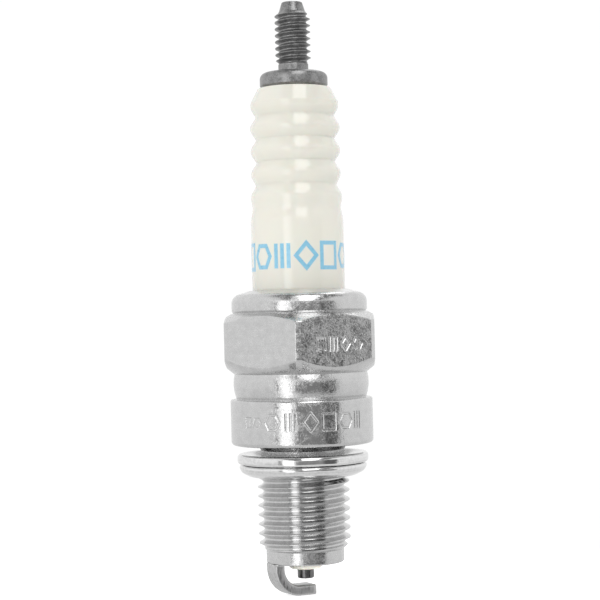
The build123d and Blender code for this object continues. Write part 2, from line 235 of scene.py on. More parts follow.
class Nodes:
    """A short way to write a procedural material."""

    def __init__(self, name):
        self.material = bpy.data.materials.new(name)
        self.material.use_nodes = True
        self.tree = self.material.node_tree
        self.shader = self.tree.nodes["Principled BSDF"]
        self.place = self.tree.nodes.new("ShaderNodeTexCoord").outputs["Object"]

    def noise(self, scale, detail=4, stretch=(1, 1, 1), seed=0.0):
        """Noise with `scale` features a millimetre, made finer on each axis by `stretch`."""
        mapping = self.tree.nodes.new("ShaderNodeMapping")
        mapping.inputs["Scale"].default_value = [s / MM for s in stretch]
        mapping.inputs["Location"].default_value = (seed, seed, seed)
        self.tree.links.new(self.place, mapping.inputs["Vector"])
        noise = self.tree.nodes.new("ShaderNodeTexNoise")
        noise.inputs["Scale"].default_value = scale
        noise.inputs["Detail"].default_value = detail
        self.tree.links.new(mapping.outputs["Vector"], noise.inputs["Vector"])
        return noise.outputs["Fac"]

    def spread(self, value, low, high, to_low, to_high):
        """Maps a value's range to another range."""
        node = self.tree.nodes.new("ShaderNodeMapRange")
        node.inputs["From Min"].default_value = low
        node.inputs["From Max"].default_value = high
        node.inputs["To Min"].default_value = to_low
        node.inputs["To Max"].default_value = to_high
        self.tree.links.new(value, node.inputs["Value"])
        return node.outputs["Result"]

    def colours(self, value, stops):
        """A colour for each stop (place, grey or rgb) of the value."""
        ramp = self.tree.nodes.new("ShaderNodeValToRGB")
        elements = ramp.color_ramp.elements
        while len(elements) < len(stops):
            elements.new(0.5)
        for element, (place, colour) in zip(elements, stops):
            rgb = (colour,) * 3 if isinstance(colour, (int, float)) else colour
            element.position = place
            element.color = (*rgb, 1)
        self.tree.links.new(value, ramp.inputs["Fac"])
        return ramp.outputs["Color"]

    def add(self, first, second, share=1.0):
        """first + share * second"""
        node = self.tree.nodes.new("ShaderNodeMath")
        node.operation = "MULTIPLY_ADD"
        self.tree.links.new(second, node.inputs[0])
        node.inputs[1].default_value = share
        self.tree.links.new(first, node.inputs[2])
        return node.outputs["Value"]

    def height(self):
        """The height of the shaded point in millimetres."""
        split = self.tree.nodes.new("ShaderNodeSeparateXYZ")
        self.tree.links.new(self.place, split.inputs["Vector"])
        return self.spread(split.outputs["Z"], 0, MM, 0, 1)

    def bump(self, value, depth):
        """Surface relief of `depth` millimetres where the value goes from 0 to 1."""
        node = self.tree.nodes.new("ShaderNodeBump")
        node.inputs["Distance"].default_value = depth * MM
        node.inputs["Strength"].default_value = 1.0
        self.tree.links.new(value, node.inputs["Height"])
        self.tree.links.new(node.outputs["Normal"], self.shader.inputs["Normal"])

    def colour(self, value):
        self.tree.links.new(value, self.shader.inputs["Base Color"])

    def roughness(self, value):
        self.tree.links.new(value, self.shader.inputs["Roughness"])

    def fixed(self, **values):
        """Constants on the shader's own sockets, with _ for a space."""
        for name, value in values.items():
            self.shader.inputs[name.replace("_", " ")].default_value = value
        return self


def plated_steel(name, low=0.56, high=0.66):
    """Bright nickel plate: mottled, with small dents, handling marks and faint turning lines."""
    m = Nodes(name).fixed(Metallic=1.0)
    lines = m.noise(1.0, 3, stretch=(0.12, 0.12, 8.0))
    mottle = m.noise(1.4, 5, seed=3.1)
    flecks = m.noise(5.5, 4, seed=7.7)
    dents = m.spread(m.noise(4.5, 4, seed=12.4), 0.53, 0.66, 0, 1)
    tone = m.add(m.add(mottle, flecks, 0.6), lines, 0.25)
    greys = [(0, low), (0.5, (low + high) / 2), (1, high)]
    m.colour(m.colours(m.spread(tone, 0.7, 1.15, 0, 1), greys))
    m.roughness(m.spread(m.add(mottle, flecks, 0.8), 0.7, 1.1, 0.09, 0.34))
    m.bump(m.add(m.add(dents, flecks, 0.9), lines, 0.5), 0.0055)
    return m.material


def thread_steel():
    """Rolled thread under plate: satin flanks with a fine grain and soft mottling."""
    m = Nodes("thread_plate").fixed(Metallic=1.0)
    grain = m.noise(9.0, 4, seed=1.3)
    mottle = m.noise(1.6, 4, seed=5.0)
    m.colour(m.colours(m.add(grain, mottle, 0.6), [(0.5, 0.5), (0.9, 0.64)]))
    m.roughness(m.spread(grain, 0.3, 0.7, 0.1, 0.22))
    m.bump(grain, 0.005)
    return m.material


def glazed_ceramic():
    """Cream white glaze, a little cooler and greyer towards the top, with faint specks and ripple.
    """
    m = Nodes("cream_glaze").fixed(
        Coat_Weight=0.8, Coat_Roughness=0.02, Subsurface_Weight=0.1, Subsurface_Scale=1.0 * MM,
        Specular_IOR_Level=0.25,
    )
    body = m.spread(m.height(), 22, 36, 0, 1)
    shade = m.noise(0.35, 3, seed=2.0)
    tone = m.add(body, shade, 0.35)
    m.colour(m.colours(tone, [(0.1, (0.835, 0.82, 0.73)), (1.0, (0.80, 0.80, 0.77))]))
    m.roughness(m.spread(m.noise(1.1, 3), 0.3, 0.7, 0.12, 0.22))
    m.bump(m.noise(0.8, 2, seed=4.0), 0.006)
    return m.material


def blue_ink():
    """Fired sky blue print, slightly uneven."""
    m = Nodes("blue_ink").fixed(Coat_Weight=0.7, Coat_Roughness=0.08)
    patches = m.noise(3.0, 4)
    m.colour(m.colours(patches, [(0.3, (0.23, 0.54, 0.74)), (0.7, (0.29, 0.61, 0.80))]))
    m.roughness(m.spread(patches, 0.3, 0.7, 0.25, 0.4))
    return m.material


def gunmetal():
    """Dark satin steel with a fine grain and pale rubbed patches."""
    m = Nodes("gunmetal").fixed(Metallic=1.0)
    grain = m.noise(7.0, 5)
    patches = m.noise(1.3, 4, seed=6.0)
    m.colour(m.colours(m.add(grain, patches, 0.7), [(0.45, 0.13), (0.75, 0.24), (1.0, 0.36)]))
    m.roughness(m.spread(grain, 0.3, 0.7, 0.28, 0.5))
    m.bump(grain, 0.012)
    return m.material


def gasket_plate():
    """Bright plated sheet, with fine drawing lines round it and scuffs from tumbling."""
    m = Nodes("gasket_plate").fixed(Metallic=1.0)
    lines = m.noise(1.0, 2, stretch=(0.2, 0.2, 6.0), seed=8.0)
    scuffs = m.noise(3.5, 5, seed=9.0)
    m.colour(m.colours(m.add(lines, scuffs, 0.8), [(0.6, 0.62), (1.0, 0.8)]))
    m.roughness(m.spread(scuffs, 0.3, 0.7, 0.06, 0.17))
    m.bump(m.add(lines, scuffs, 0.6), 0.006)
    return m.material


def satin_nickel(name="satin_nickel", low=0.42, high=0.6):
    """Drawn nickel alloy wire: satin, with grain along Z and dull mottling."""
    m = Nodes(name).fixed(Metallic=1.0)
    grain = m.noise(4.0, 4, stretch=(2.0, 2.0, 0.35))
    mottle = m.noise(2.4, 4, seed=2.7)
    m.colour(m.colours(m.add(grain, mottle, 0.7), [(0.5, low), (1.0, high)]))
    m.roughness(m.spread(grain, 0.3, 0.7, 0.24, 0.42))
    m.bump(grain, 0.008)
    return m.material


def powder(name, dark, pale, grain_scale, depth, metallic=0.0, rough=0.8):
    """Pressed or fused powder: a grainy two tone surface."""
    m = Nodes(name).fixed(Metallic=metallic)
    grain = m.noise(grain_scale, 5)
    m.colour(m.colours(grain, [(0.35, dark), (0.65, pale)]))
    m.roughness(m.spread(grain, 0.3, 0.7, rough * 0.8, rough))
    m.bump(grain, depth)
    return m.material


# ---- Shell --------------------------------------------------------------------------------

RING_R = 7.65
RING_TOP = 4.9
WAIST_R = 7.13
WAIST_BULGE = (7.28, 6.55)
WAIST_CURVE_R = 4.3
HEX_LOW = 7.65
HEX_HIGH = 14.1
HEX_FLATS = 15.9
HEX_TURN = math.radians(29)
HEX_CORNER_LIMIT = 9.0
HEX_CORNER_ROUNDING = 0.6
HEX_LOW_CHAMFER = (7.2, 0.8)
HEX_HIGH_CHAMFER = (7.4, math.tan(math.radians(30)))
HEX_BEVEL = 0.09
SHOULDER_R = 7.3
LIP_R = 5.15
LIP_SLOPE = 0.3
LIP_UNDERSIDE = 15.2
SHOULDER_ROUNDING = 1.95
CAVITY_R = 5.9
CAVITY_FLOOR = 2.7
LOWER_BORE_R = 3.7
LOWER_BORE_TOP = 0.3
LEDGE_R = 2.95
LEDGE_TOP = -6.2
LEDGE_LOW = -7.6
FIRING_BORE_R = 3.15
FIRING_BORE_TOP = -7.8
THREAD_PITCH = 1.0
THREAD_CREST_R = 4.94
THREAD_ROOT_R = 4.3266
THREAD_CREST_Z = -5.05
THREAD_LOW = -11.3
THREAD_HIGH = -2.75
PILOT_R = 4.2
NECK_R = 4.5
MARK_DEPTH = 0.07

# Generic stamped marks as (distance along the surface, height, shape, half width, half height).
# Distances run to the right from the front of the ring, or from the middle of the right hand flat.
RING_MARKS = [
    (-6.3, 2.6, "square", 0.36, 0.5), (-5.1, 2.6, "hexagon", 0.5, 0.55),
    (-3.2, 2.7, "hexagon", 0.8, 0.9), (-1.2, 2.7, "tally", 0.5, 0.85),
    (0.9, 2.7, "diamond", 0.75, 1.0), (2.9, 2.7, "square", 0.7, 0.85),
    (4.9, 2.7, "hexagon", 0.8, 0.85), (6.5, 2.7, "tally", 0.4, 0.85),
]
FLAT_MARKS = [
    (-1.9, 10.75, "square", 0.45, 0.62), (-0.45, 10.75, "tally", 0.42, 0.66),
    (1.05, 10.75, "diamond", 0.5, 0.7), (2.5, 10.75, "hexagon", 0.5, 0.62),
]
STROKE = 0.24
RING_MARKS_REACH = 7.4
RING_MARKS_LOW = 1.4
RING_MARKS_HEIGHT = 2.7
FLAT_MARKS_REACH = 3.6
# Sides of each plain shape, and the share of a turn to its first corner
POLYGONS = {"diamond": (4, 0), "square": (4, 0.125), "hexagon": (6, 0)}


def mark_strokes(shape, half_width, half_height):
    """The centrelines of a mark about its middle, as (points, closed)."""
    if shape == "tally":
        bars = (-half_width, 0, half_width)
        return [([(x, -half_height), (x, half_height)], False) for x in bars]
    sides, turn = POLYGONS[shape]
    grow = math.sqrt(2) if shape == "square" else 1
    angles = [TURN * (turn + k / sides) for k in range(sides)]
    corners = [(grow * half_width * math.cos(a), grow * half_height * math.sin(a)) for a in angles]
    return [(corners, True)]


def to_segment(x, y, a, b):
    """Distance from a point to a straight segment between a and b."""
    run, rise = b[0] - a[0], b[1] - a[1]
    along = ((x - a[0]) * run + (y - a[1]) * rise) / (run * run + rise * rise)
    along = min(1, max(0, along))
    return math.hypot(x - a[0] - along * run, y - a[1] - along * rise)


def mark_segments(marks):
    """Every straight piece of the marks, with the middle and reach of its mark."""
    out = []
    for x, y, shape, half_width, half_height in marks:
        for points, closed in mark_strokes(shape, half_width, half_height):
            points = [(x + u, y + v) for u, v in points]
            ends = points[1:] + points[:1] if closed else points[1:]
            out += [(x, max(half_width, half_height) + STROKE, a, b) for a, b in zip(points, ends)]
    return out


def mark_depth(x, y, segments):
    """How deep the stamped marks are at a place on the surface."""
    near = [to_segment(x, y, a, b) for middle, reach, a, b in segments if abs(x - middle) < reach]
    return MARK_DEPTH * (1 - smooth_step(min(near, default=1), STROKE * 0.25, STROKE * 0.6))


def hex_radius(angle):
    """Radius of the hexagon's side at an angle, with rounded and turned corners."""
    from_corner = (angle - HEX_TURN) % (TURN / 6)
    from_corner = min(from_corner, TURN / 6 - from_corner)
    half_flats = HEX_FLATS / 2
    flat = half_flats / math.cos(TURN / 12 - from_corner)
    corner_centre = (half_flats - HEX_CORNER_ROUNDING) / math.cos(TURN / 12)
    cut = corner_centre * math.cos(from_corner)
    inside = HEX_CORNER_ROUNDING ** 2 - (corner_centre * math.sin(from_corner)) ** 2
    meet = math.atan2((half_flats - HEX_CORNER_ROUNDING) * math.tan(TURN / 12), half_flats)
    if TURN / 12 - from_corner > meet and inside > 0:
        flat = cut + math.sqrt(inside)
    return min(flat, HEX_CORNER_LIMIT)


def shell():
    """The plated body: bore, crimped lip, hexagon, waist, stamped ring, thread and pilot."""
    skin = Skin()
    ring_marks, flat_marks = mark_segments(RING_MARKS), mark_segments(FLAT_MARKS)
    plain = even_angles(216)
    ring_half = RING_MARKS_REACH / RING_R
    ring_angles = sorted(set(plain) | {
        FRONT % TURN + ring_half * k / 220 for k in range(-220, 221)
    })
    flat_middle = HEX_TURN + TURN * 3 / 4
    corner_angles = {
        (HEX_TURN + TURN * corner / 6 + math.radians(0.3) * k) % TURN
        for corner in range(6) for k in range(-14, 15)
    }
    edge_angles = sorted(set(even_angles(144)) | corner_angles)
    hex_angles = sorted(set(edge_angles) | {
        flat_middle + FLAT_MARKS_REACH / (HEX_FLATS / 2) * k / 130 for k in range(-130, 131)
    })

    def stamped(r, z):
        def shape(angle):
            distance = ((angle - FRONT % TURN + math.pi) % TURN - math.pi) * RING_R
            return r - mark_depth(distance, z, ring_marks), z
        return shape

    def hex_side(share):
        """A row of the hexagon's side, from its lower edge (0) to its upper edge (1)."""
        def shape(angle):
            r = hex_radius(angle)
            low = HEX_LOW + max(0, r - HEX_LOW_CHAMFER[0]) * HEX_LOW_CHAMFER[1]
            high = HEX_HIGH - max(0, r - HEX_HIGH_CHAMFER[0]) * HEX_HIGH_CHAMFER[1]
            if share < 0:
                return r - HEX_BEVEL * 0.8, low - HEX_BEVEL * 0.64
            if share > 1:
                return r - HEX_BEVEL * 0.9, high + HEX_BEVEL * 0.52
            z = low + HEX_BEVEL + (high - low - 2 * HEX_BEVEL) * share
            across = (angle - flat_middle + math.pi) % TURN - math.pi
            distance = r * math.sin(across)
            depth = mark_depth(distance, z, flat_marks) if abs(across) < 0.5 else 0
            return r - depth, z
        return shape

    pilot_end = rounded([
        (FIRING_BORE_R, shell_low, 0), (PILOT_R, shell_low, 0.2), (PILOT_R, THREAD_LOW, 0),
    ])
    rings = [skin.ring(plain, level(r, z)) for r, z in pilot_end[:-1]]

    def start_chamfer(angle, r, z):
        trimmed = min(r, PILOT_R + 1.15 * (z - THREAD_LOW))
        fade = 1 - smooth_step(z, THREAD_HIGH - 1.0, THREAD_HIGH - 0.25)
        return min(trimmed, THREAD_ROOT_R + (r - THREAD_ROOT_R) * fade)

    low_ring, high_ring = thread_rings(
        skin, plain, THREAD_PITCH, THREAD_CREST_Z, THREAD_ROOT_R, THREAD_CREST_R,
        THREAD_LOW, THREAD_HIGH, start_chamfer,
    )
    skin.stack(rings + [low_ring])
    neck = rounded([
        (THREAD_ROOT_R, THREAD_HIGH, 0), (THREAD_ROOT_R, -2.5, 0.1), (NECK_R, -2.3, 0.1),
        (NECK_R, -0.6, 0.15), (4.85, 0, 0.1), (RING_R, 0, 0.45), (RING_R, 0.9, 0),
    ], 15)
    rings = [high_ring] + [skin.ring(plain, level(r, z)) for r, z in neck[1:-1]]
    mark_rows = [RING_MARKS_LOW + RING_MARKS_HEIGHT * k / 64 for k in range(65)]
    rings += [skin.ring(plain, level(RING_R, RING_MARKS_LOW - 0.02))]
    rings += [skin.ring(ring_angles, stamped(RING_R, z)) for z in mark_rows]
    bulge = []
    for k in range(13):
        z = RING_TOP + 0.06 + (HEX_LOW - RING_TOP - 0.06) * k / 12
        bulge.append((WAIST_BULGE[0] - (z - WAIST_BULGE[1]) ** 2 / (2 * WAIST_CURVE_R), z))
    waist = rounded([
        (RING_R, 4.2, 0), (RING_R, RING_TOP, 0.35), (WAIST_R + 0.1, RING_TOP, 0.1),
        (bulge[0][0], bulge[0][1], 0.03), *[(r, z, 0) for r, z in bulge[1:-1]],
        (bulge[-1][0], HEX_LOW, 0.03), (HEX_LOW_CHAMFER[0], HEX_LOW, 0.03),
        (HEX_LOW_CHAMFER[0] + 0.1, HEX_LOW + 0.08, 0),
    ], 15)
    rings += [skin.ring(plain, level(r, z)) for r, z in waist[:-1]]
    rings.append(skin.ring(edge_angles, hex_side(-1)))
    side_shares = [0.0, 0.02] + [0.14 + 0.56 * k / 40 for k in range(41)] + [0.98, 1.0]
    rings += [skin.ring(hex_angles, hex_side(share)) for share in side_shares]
    rings.append(skin.ring(edge_angles, hex_side(2)))
    top = rounded([
        (HEX_HIGH_CHAMFER[0] + 0.1, HEX_HIGH - 0.06, 0), (HEX_HIGH_CHAMFER[0], HEX_HIGH, 0.05),
        (7.14, HEX_HIGH, 0.05), (SHOULDER_R, HEX_HIGH + 0.3, 0.08),
        (SHOULDER_R, shell_high - LIP_SLOPE * (SHOULDER_R - LIP_R), SHOULDER_ROUNDING),
        (LIP_R, shell_high, 0.12), (LIP_R, LIP_UNDERSIDE + 0.4, 0.1),
        (CAVITY_R, LIP_UNDERSIDE, 0), (CAVITY_R, CAVITY_FLOOR, 0),
        (LOWER_BORE_R, LOWER_BORE_TOP, 0), (LOWER_BORE_R, LEDGE_TOP, 0), (LEDGE_R, -6.85, 0),
        (LEDGE_R, LEDGE_LOW, 0), (FIRING_BORE_R, FIRING_BORE_TOP, 0),
        (FIRING_BORE_R, shell_low, 0),
    ], 11)
    rings += [skin.ring(plain, level(r, z)) for r, z in top[1:]]
    skin.stack(rings)
    body = new_object("plated_shell", skin.vertices, skin.faces, plated_steel("nickel_plate"), 28)
    thread_finish = thread_steel()
    body.data.materials.append(thread_finish)
    body.data.materials.append(satin_nickel("crimped_lip", 0.7, 0.8))
    for polygon in body.data.polygons:
        z = polygon.center.z / MM
        r = math.hypot(polygon.center.x, polygon.center.y) / MM
        if THREAD_LOW < z < -2.4 and r > 4:
            polygon.material_index = 1
        if z > shell_high - 0.3 and r > LIP_R:
            polygon.material_index = 2
    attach(body, "plug")
    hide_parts("metal_shell")
    return body


# ---- Insulator and its print --------------------------------------------------------------

BARREL_R = 5.0
BARREL_HIGH = 23.35
BARREL_LOW = shell_high - 0.25
SHANK_R = 4.75
FIRST_RIB = (4.76, 36.45)
RIB_R = 4.85
LAST_RIB_R = 4.93
RIB_PITCH = 2.46
RIB_COUNT = 5
VALLEY_R = 4.26
LAST_VALLEY_R = 4.38
FOOT_DIP = 0.17
TOP_R = 3.95
COLLAR_R = 5.8
COLLAR_HIGH = 9.3
COLLAR_LOW = 3.2
BODY_R = 3.6
BODY_TOP = 0.9
NOSE_ROOT_R = 2.6
NOSE_TIP_R = 1.75
TERMINAL_BORE_R = 1.8
ELECTRODE_BORE_R = 1.0


def insulator():
    """The glazed insulator, with five soft ribs above a plain barrel, and its two bores."""
    ribs = []
    lowest = FIRST_RIB[1] - RIB_PITCH * (RIB_COUNT - 1)
    steps = 16
    for k in range(steps * (RIB_COUNT - 1) + 1):
        fall = k / steps
        z = FIRST_RIB[1] - RIB_PITCH * fall
        wave = (0.5 + 0.5 * math.cos(TURN * fall)) ** 0.72
        peak = FIRST_RIB[0] + (RIB_R - FIRST_RIB[0]) * min(1, fall)
        peak += (LAST_RIB_R - RIB_R) * smooth_step(fall, RIB_COUNT - 1.5, RIB_COUNT - 1)
        valley = LAST_VALLEY_R if fall > RIB_COUNT - 2 else VALLEY_R
        ribs.append((valley + (peak - valley) * wave, z))
    foot = []
    for k in range(1, 11):
        share = k / 10
        z = lowest - (lowest - BARREL_HIGH) * share
        dip = FOOT_DIP * math.sin(math.pi * min(1, share * 1.25)) ** 2
        foot.append((LAST_RIB_R + (BARREL_R - LAST_RIB_R) * smooth_step(share, 0, 1) - dip, z))
    outside = rounded([
        (TERMINAL_BORE_R, insulator_high, 0), (TOP_R, insulator_high, 0.25),
        (FIRST_RIB[0], FIRST_RIB[1] + 0.25, 0.3), FIRST_RIB + (0,),
    ], 12)
    rest = rounded([
        (BARREL_R, BARREL_HIGH - 0.3, 0), (BARREL_R, BARREL_LOW, 0.08), (SHANK_R, BARREL_LOW, 0),
        (SHANK_R, COLLAR_HIGH, 0.05), (COLLAR_R, COLLAR_HIGH, 0.3), (COLLAR_R, COLLAR_LOW, 0),
        (BODY_R, BODY_TOP, 0), (BODY_R, -5.98, 0), (NOSE_ROOT_R, -6.85, 0.1),
        (NOSE_TIP_R, insulator_low, 0.3), (ELECTRODE_BORE_R, insulator_low, 0.08),
        (ELECTRODE_BORE_R, 0, 0), (TERMINAL_BORE_R, 0, 0), (TERMINAL_BORE_R, insulator_high, 0),
    ], 15)
    outline = outside[:-1] + ribs + foot + rest[:-1]
    piece = turned("glazed_insulator", outline[::-1], 192, glazed_ceramic())
    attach(piece, "plug")
    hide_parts("insulator")
    return piece


# Generic printed marks: (distance to the right of the front, shape, half width)
PRINT_HALF_HEIGHT = 1.31
PRINT_MIDDLE = 20.1
PRINT_STROKE = 0.42
PRINT_THICKNESS = 0.012
PRINTED = [
    (-6.9, "square", 1.0), (-4.2, "hexagon", 1.05), (-1.7, "tally", 0.7), (0.9, "diamond", 1.1),
    (3.6, "square", 0.95), (6.3, "hexagon", 1.05),
]


def fine_path(points, closed, step=0.25):
    """The same path with long runs divided, so that it can bend round the barrel."""
    out = []
    ends = points[1:] + points[:1] if closed else points[1:]
    for (ax, ay), (bx, by) in zip(points, ends):
        count = max(1, round(math.hypot(bx - ax, by - ay) / step))
        out += [(ax + (bx - ax) * k / count, ay + (by - ay) * k / count) for k in range(count)]
    return out if closed else out + [points[-1]]


def stroke_edges(points, closed, width):
    """The two edges of a stroke along a path, mitred at its corners."""
    left, right = [], []
    for k, (x, y) in enumerate(points):
        before = points[k - 1] if closed or k > 0 else None
        after = points[(k + 1) % len(points)] if closed or k + 1 < len(points) else None
        normals = []
        runs = [(before, (x, y))] if before else []
        runs += [((x, y), after)] if after else []
        for (ax, ay), (bx, by) in runs:
            length = math.hypot(bx - ax, by - ay)
            normals.append(((ay - by) / length, (bx - ax) / length))
        nx, ny = normals[0][0] + normals[-1][0], normals[0][1] + normals[-1][1]
        size = math.hypot(nx, ny)
        nx, ny = nx / size, ny / size
        mitre = width / 2 / max(0.35, nx * normals[0][0] + ny * normals[0][1])
        left.append((x + nx * mitre, y + ny * mitre))
        right.append((x - nx * mitre, y - ny * mitre))
    return left, right


def printed_marks():
    """The blue print round the front of the barrel: plain shapes, as thin raised ink."""
    vertices, faces = [], []
    strokes = [(middle, points, closed) for middle, shape, half_width in PRINTED
               for points, closed in mark_strokes(shape, half_width, PRINT_HALF_HEIGHT)]
    for middle, corners, closed in strokes:
        points = fine_path(corners, closed)
        left, right = stroke_edges(points, closed, PRINT_STROKE)
        start = len(vertices)
        for (lx, ly), (rx, ry) in zip(left, right):
            for x, y, r in (
                (lx, ly, BARREL_R - PRINT_THICKNESS), (lx, ly, BARREL_R + PRINT_THICKNESS),
                (rx, ry, BARREL_R + PRINT_THICKNESS), (rx, ry, BARREL_R - PRINT_THICKNESS),
            ):
                angle = FRONT + (middle + x) / BARREL_R
                vertices.append((r * math.cos(angle), r * math.sin(angle), PRINT_MIDDLE + y))
        count = len(points)
        for k in range(count if closed else count - 1):
            here, there = start + 4 * k, start + 4 * ((k + 1) % count)
            for side in range(4):
                other = (side + 1) % 4
                faces.append([here + side, here + other, there + other, there + side])
        if not closed:
            faces.append([start + 3, start + 2, start + 1, start])
            end = start + 4 * (count - 1)
            faces.append([end, end + 1, end + 2, end + 3])
    piece = new_object("barrel_print", vertices, faces, blue_ink())
    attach(piece, "plug")
    return piece


# ---- Terminal stud ------------------------------------------------------------------------

STUD_PITCH = 0.7
STUD_CREST_R = 1.92
STUD_ROOT_R = 1.4906
STUD_CREST_Z = 42.97
STUD_NECK_R = 1.62
STUD_THREAD_LOW = 41.0
STUD_THREAD_HIGH = 46.5
FLANGE_R = 3.66
FLANGE_FOOT_R = 3.42
FLANGE_HIGH = 40.0
STUD_SHANK_R = 1.5
STUD_GRIP_R = 1.4


def terminal_stud():
    """The stud: a hidden gripped shank, a round flange and the bare thread above it."""
    skin = Skin()
    angles = even_angles(120)
    lower = [(0, stud_low, 0), (STUD_SHANK_R, stud_low, 0.2)]
    for grip in range(1, 5):
        z = stud_low + 0.5 * grip
        lower += [(STUD_SHANK_R, z - 0.1, 0), (STUD_GRIP_R, z, 0.05), (STUD_SHANK_R, z + 0.1, 0)]
    lower += [
        (STUD_SHANK_R, insulator_high, 0), (FLANGE_FOOT_R, insulator_high, 0.06),
        (FLANGE_R, insulator_high + 0.3, 0.15),
        (FLANGE_R, FLANGE_HIGH, 0.8), (STUD_NECK_R, FLANGE_HIGH, 0.1),
        (STUD_NECK_R, STUD_THREAD_LOW - 0.1, 0.05), (STUD_ROOT_R, STUD_THREAD_LOW, 0),
    ]
    rings = [skin.ring(angles, level(r, z)) for r, z in rounded(lower, 12)[:-1]]

    def ends(angle, r, z):
        into = STUD_ROOT_R + 1.3 * max(0, z - STUD_THREAD_LOW)
        out = STUD_ROOT_R + 1.1 * max(0, STUD_THREAD_HIGH - z)
        return min(r, into, out)

    low_ring, high_ring = thread_rings(
        skin, angles, STUD_PITCH, STUD_CREST_Z, STUD_ROOT_R, STUD_CREST_R,
        STUD_THREAD_LOW, STUD_THREAD_HIGH, ends,
    )
    skin.stack(rings + [low_ring])
    point = rounded([
        (STUD_ROOT_R, STUD_THREAD_HIGH, 0), (1.42, STUD_THREAD_HIGH + 0.08, 0.05),
        (1.1, stud_high, 0.1), (0, stud_high, 0),
    ], 15)
    skin.stack([high_ring] + [skin.ring(angles, level(r, z)) for r, z in point[1:]])
    piece = new_object("threaded_stud", skin.vertices, skin.faces, gunmetal())
    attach(piece, "plug")
    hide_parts("terminal_stud")
    return piece


# ---- Gasket -------------------------------------------------------------------------------

GASKET_SHEET = 0.36
GASKET_WIDEST = 7.02
GASKET_FOOT = -3.4
GASKET_TOP = -0.95
GASKET_FOLD = [
    (5.0, -1.75, 0), (6.4, -1.13, 0.3), (6.87, -1.13, 0.25), (6.87, -1.84, 0.14),
    (5.75, -1.86, 0.2), (5.75, -2.25, 0.2), (6.75, -2.25, 0.14), (6.5, -2.8, 0.5),
    (5.7, -3.22, 0.7), (4.97, -3.22, 0.2), (4.97, -2.6, 0),
]


def gasket():
    """One folded sheet ring, a little uneven round its turn, loose above the thread."""
    middle = np.array(rounded(GASKET_FOLD, 18))
    gaps = np.linalg.norm(np.diff(middle, axis=0), axis=1)
    middle = middle[[0] + [k + 1 for k, gap in enumerate(gaps) if gap > 0.03]]
    along = np.gradient(middle, axis=0)
    along /= np.linalg.norm(along, axis=1)[:, None]
    across = np.stack([-along[:, 1], along[:, 0]], axis=1)
    half = GASKET_SHEET / 2
    inner, outer = middle + across * half, middle - across * half

    def end_cap(centre, direction, normal):
        return [tuple(centre + half * (direction * math.sin(a) + normal * math.cos(a)))
                for a in (math.radians(45), math.radians(90), math.radians(135))]

    loop = [tuple(p) for p in inner]
    loop += end_cap(middle[-1] - along[-1] * half * 0.9, along[-1], across[-1])
    loop += [tuple(p) for p in outer[::-1]]
    loop += end_cap(middle[0] + along[0] * half * 0.9, -along[0], -across[0])
    uneven = random.Random(11)
    waves = [
        (count, uneven.uniform(0, TURN), uneven.uniform(0.006, 0.016)) for count in (2, 3, 5, 9)
    ]

    def wobble(angle, r, z):
        shift = sum(size * math.sin(count * angle + phase) for count, phase, size in waves)
        room = min(1, max(0, (GASKET_WIDEST - r) / 0.4))
        from_foot = min(1, (z - GASKET_FOOT) / 0.5)
        from_top = min(1, (GASKET_TOP - z) / 0.3)
        return r + 0.4 * shift * room, z + 0.6 * shift * from_foot * from_top

    piece = turned("folded_gasket", loop, 180, gasket_plate(), wobble)
    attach(piece, "gasket")
    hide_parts("gasket")
    return piece


# ---- Electrodes ---------------------------------------------------------------------------

STRAP_WIDTH = 2.3
STRAP_THICKNESS = 1.1
STRAP_OUTER_R = 4.2
STRAP_BEND_R = 2.45
STRAP_OVERHANG = 0.65
STRAP_TURN = math.radians(209)
STRAP_EDGE = 0.22


def strap_section():
    """The strap's rounded rectangle as (outward, sideways) points."""
    half_t, half_w = STRAP_THICKNESS / 2, STRAP_WIDTH / 2
    out = []
    for sign_t, sign_w, start in ((1, 1, 0), (-1, 1, 90), (-1, -1, 180), (1, -1, 270)):
        for step in range(5):
            turn = math.radians(start + 22.5 * step)
            out.append((
                sign_t * (half_t - STRAP_EDGE) + STRAP_EDGE * math.cos(turn),
                sign_w * (half_w - STRAP_EDGE) + STRAP_EDGE * math.sin(turn),
            ))
    return out


